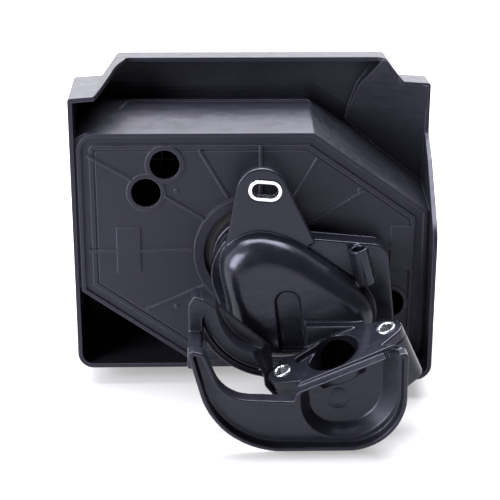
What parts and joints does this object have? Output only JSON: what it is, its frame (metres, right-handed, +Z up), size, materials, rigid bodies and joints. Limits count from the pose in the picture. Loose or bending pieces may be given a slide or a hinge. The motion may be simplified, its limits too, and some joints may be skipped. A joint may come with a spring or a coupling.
{
  "type": "air filter housing",
  "caption": "Moulded air filter housing with a hexagonal rear plate in a flared shroud, an intake elbow with a slotted lug and carburettor flange, a carburettor tray and a removable cover.",
  "frame": {"origin": "centre of the hexagonal rear plate, on its rear face", "axes": "+Z up; -Y towards the engine, square to the rear plate; +Y is the way the cover comes off; +X to the right seen from the engine"},
  "size_m": [0.192, 0.1804, 0.1608],
  "materials": {
    "black_plastic": "semi-gloss moulded glass-filled nylon",
    "elbow_plastic": "semi-gloss moulded glass-filled nylon",
    "tray_plastic": "satin moulded nylon",
    "cover_plastic": "fine satin grain",
    "knob_plastic": "satin",
    "seal_rubber": "matt",
    "sleeve_steel": "zinc plated",
    "screw_steel": "zinc plated",
    "insert_brass": "knurled, turned",
    "frame_plastic": "satin",
    "filter_paper": "matt, charcoal-dyed pleated medium",
    "mesh_steel": "black-coated wire",
    "prefilter_felt": "needled felt"
  },
  "bodies": {
    "housing": {"housing_shell": "black_plastic", "elbow_dome": "elbow_plastic", "elbow_base": "elbow_plastic", "elbow_seal": "seal_rubber", "lug_slot_sleeve": "sleeve_steel", "carb_sleeve_left": "sleeve_steel", "carb_sleeve_right": "sleeve_steel", "elbow_screws": "screw_steel", "carb_tray": "tray_plastic", "threaded_insert_left": "insert_brass", "threaded_insert_right": "insert_brass"},
    "element": {"filter_frame": "frame_plastic", "filter_seal": "seal_rubber", "filter_pleats": "filter_paper", "filter_mesh": "mesh_steel", "prefilter": "prefilter_felt"},
    "cover": {"filter_cover": "cover_plastic", "cover_seal": "seal_rubber"},
    "left_knob": {"knob_left": "knob_plastic", "knob_stud_left": "screw_steel", "knob_retainer_left": "screw_steel"},
    "right_knob": {"knob_right": "knob_plastic", "knob_stud_right": "screw_steel", "knob_retainer_right": "screw_steel"}
  },
  "joints": [
    {"name": "cover_lift_off", "type": "slide", "parent": "housing", "child": "cover", "axis": [0, 1, 0], "range_m": [0, 0.08]},
    {"name": "element_lift_out", "type": "slide", "parent": "housing", "child": "element", "axis": [0, 1, 0], "range_m": [0, 0.05]},
    {"name": "left_knob_turn", "type": "hinge", "parent": "cover", "child": "left_knob", "pos_m": [-0.075, 0.09, -0.053], "axis": [0, 1, 0], "range_deg": [0, 90]},
    {"name": "right_knob_turn", "type": "hinge", "parent": "cover", "child": "right_knob", "pos_m": [0.075, 0.09, 0.053], "axis": [0, 1, 0], "range_deg": [0, 90]}
  ],
  "couplings": [
    {"joint": "element_lift_out", "follows": "cover_lift_off", "ratio": 0.6}
  ]
}
